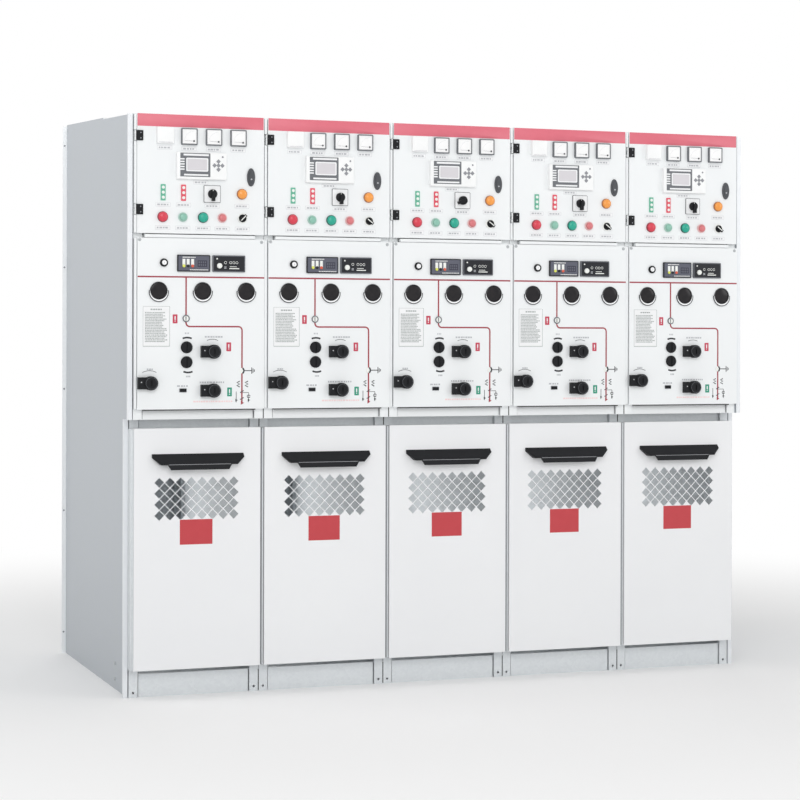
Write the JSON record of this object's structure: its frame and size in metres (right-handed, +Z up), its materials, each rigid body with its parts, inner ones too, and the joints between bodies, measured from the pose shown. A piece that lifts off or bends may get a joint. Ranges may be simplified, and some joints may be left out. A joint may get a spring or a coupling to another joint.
{
  "type": "solid insulated ring main unit line-up",
  "caption": "Side-by-side switchgear cabinets with hinged instrument doors, mechanism panels with knobs and lift-off cable doors with a diamond grille.",
  "frame": {"origin": "centre of the overall box, on the floor", "axes": "+X along the line-up to the right seen from the front, +Y to the rear, +Z up"},
  "size_m": [2.542, 1.305, 2.228],
  "materials": {
    "galvanised": "satin",
    "end_sheet": "satin",
    "white_paint": "satin",
    "grey_paint": "satin",
    "white_plastic": "gloss",
    "grey_plastic": "matte",
    "dark_lens": "gloss",
    "black_plastic": "matte",
    "black_metal": "satin"
  },
  "bodies": {
    "root": {"lower_posts": "galvanised", "upper_posts": "white_paint", "rear_posts": "galvanised", "lower_side_walls": "galvanised", "upper_side_walls": "white_paint", "left_end_panel": "end_sheet", "right_end_panel": "end_sheet", "base_angles": "galvanised", "plinth_panels": "galvanised", "front_floor_plates": "galvanised", "rear_floor_plates": "galvanised", "door_head_rails": "galvanised", "bottom_rails": "white_paint", "switch_housings": "grey_paint", "busbar_housings": "grey_paint", "instrument_shelves": "white_paint", "mechanism_panels": "white_paint", "window_bezels": "white_plastic", "window_lenses": "dark_lens", "operating_knobs": "black_plastic", "display_modules": "grey_plastic", "roof_sheets": "white_paint", "rear_covers": "galvanised", "hinge_brackets": "black_metal"},
    "instrument_door_1": {"instrument_door_1": "white_paint", "door_fittings_1": "white_plastic"},
    "instrument_door_2": {"instrument_door_2": "white_paint", "door_fittings_2": "white_plastic"},
    "instrument_door_3": {"instrument_door_3": "white_paint", "door_fittings_3": "white_plastic"},
    "instrument_door_4": {"instrument_door_4": "white_paint", "door_fittings_4": "white_plastic"},
    "instrument_door_5": {"instrument_door_5": "white_paint", "door_fittings_5": "white_plastic"},
    "cable_door_1": {"cable_door_1": "white_paint", "cable_door_grip_1": "black_plastic"},
    "cable_door_2": {"cable_door_2": "white_paint", "cable_door_grip_2": "black_plastic"},
    "cable_door_3": {"cable_door_3": "white_paint", "cable_door_grip_3": "black_plastic"},
    "cable_door_4": {"cable_door_4": "white_paint", "cable_door_grip_4": "black_plastic"},
    "cable_door_5": {"cable_door_5": "white_paint", "cable_door_grip_5": "black_plastic"}
  },
  "joints": [
    {"name": "instrument_door_1_hinge", "type": "hinge", "parent": "root", "child": "instrument_door_1", "pos_m": [-1.245, -0.6225, 1.9385], "axis": [0, 0, -1], "range_deg": [0, 100]},
    {"name": "instrument_door_2_hinge", "type": "hinge", "parent": "root", "child": "instrument_door_2", "pos_m": [-0.745, -0.6225, 1.9385], "axis": [0, 0, -1], "range_deg": [0, 100]},
    {"name": "instrument_door_3_hinge", "type": "hinge", "parent": "root", "child": "instrument_door_3", "pos_m": [-0.245, -0.6225, 1.9385], "axis": [0, 0, -1], "range_deg": [0, 100]},
    {"name": "instrument_door_4_hinge", "type": "hinge", "parent": "root", "child": "instrument_door_4", "pos_m": [0.255, -0.6225, 1.9385], "axis": [0, 0, -1], "range_deg": [0, 100]},
    {"name": "instrument_door_5_hinge", "type": "hinge", "parent": "root", "child": "instrument_door_5", "pos_m": [0.755, -0.6225, 1.9385], "axis": [0, 0, -1], "range_deg": [0, 100]},
    {"name": "cable_door_1_lift", "type": "slide", "parent": "root", "child": "cable_door_1", "axis": [0, 0, 1], "range_m": [0, 0.022]},
    {"name": "cable_door_2_lift", "type": "slide", "parent": "root", "child": "cable_door_2", "axis": [0, 0, 1], "range_m": [0, 0.022]},
    {"name": "cable_door_3_lift", "type": "slide", "parent": "root", "child": "cable_door_3", "axis": [0, 0, 1], "range_m": [0, 0.022]},
    {"name": "cable_door_4_lift", "type": "slide", "parent": "root", "child": "cable_door_4", "axis": [0, 0, 1], "range_m": [0, 0.022]},
    {"name": "cable_door_5_lift", "type": "slide", "parent": "root", "child": "cable_door_5", "axis": [0, 0, 1], "range_m": [0, 0.022]}
  ]
}
